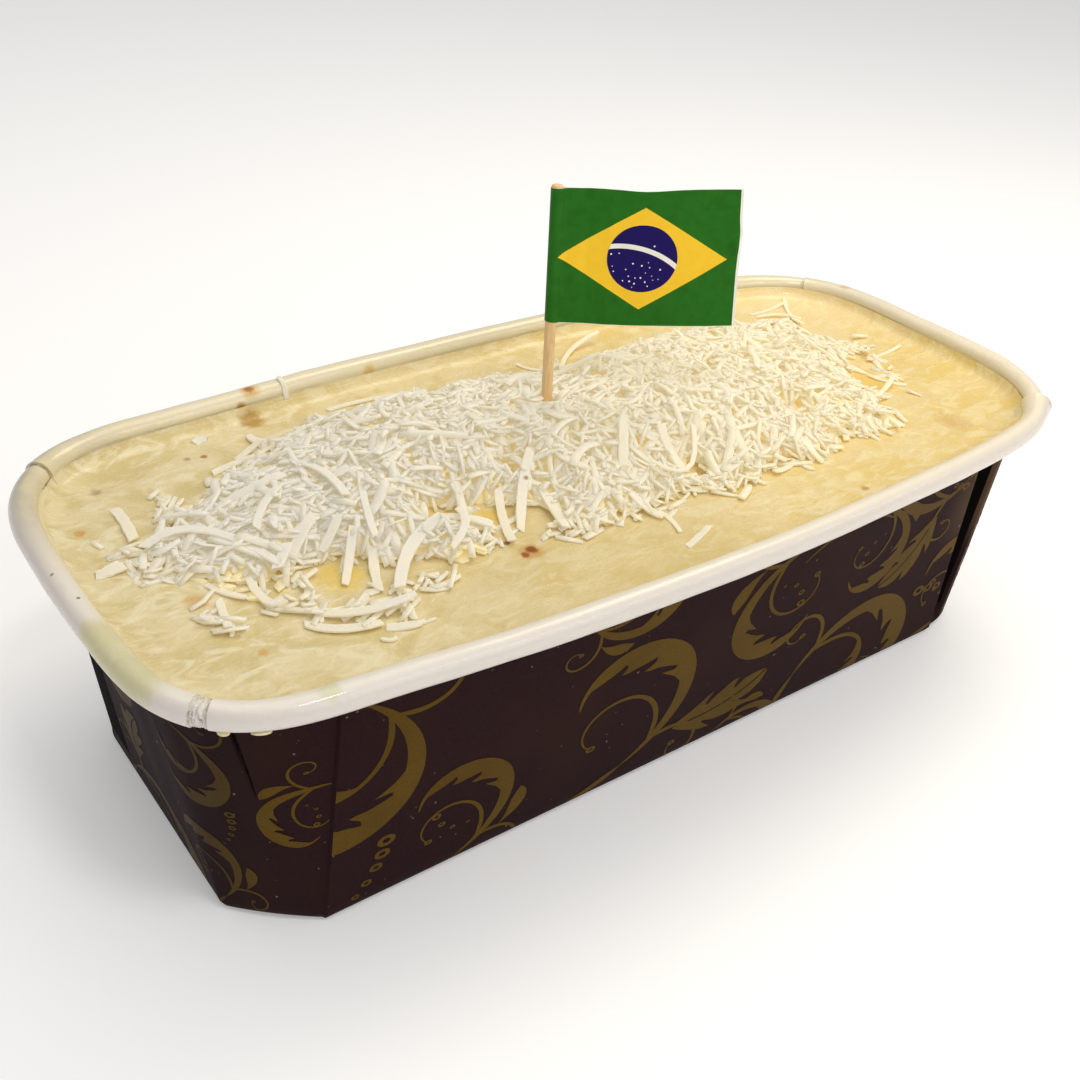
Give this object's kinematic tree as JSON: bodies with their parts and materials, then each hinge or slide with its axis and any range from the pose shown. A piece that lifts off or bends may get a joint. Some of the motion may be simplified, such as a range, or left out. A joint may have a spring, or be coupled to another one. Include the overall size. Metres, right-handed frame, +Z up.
{
  "type": "coconut loaf cake",
  "caption": "Whole coconut loaf cake in a rolled-rim paper pan, heaped with shredded coconut and marked with a small paper flag on a wooden pick.",
  "frame": {"origin": "middle of the pan's box, on the surface that the pan stands on", "axes": "+X along the loaf, towards the end that the picture shows further away; -Y is the long side that faces the camera; +Z up"},
  "size_m": [0.2068, 0.0986, 0.1016],
  "materials": {
    "brown_paper": "dark brown baking paper with a gold scroll print outside, glazed white inside and on the rolled rim",
    "cake": "moist pale yellow cake, slightly glossy, with browned specks",
    "coconut": "white shredded coconut, matt and moist",
    "pick_wood": "plain birch wood",
    "flag_paper": "printed paper in green, yellow, blue and white, satin"
  },
  "bodies": {
    "root": {"paper_pan": "brown_paper", "cake": "cake", "shredded_coconut": "coconut", "pick": "pick_wood", "paper_flag": "flag_paper"}
  },
  "joints": []
}
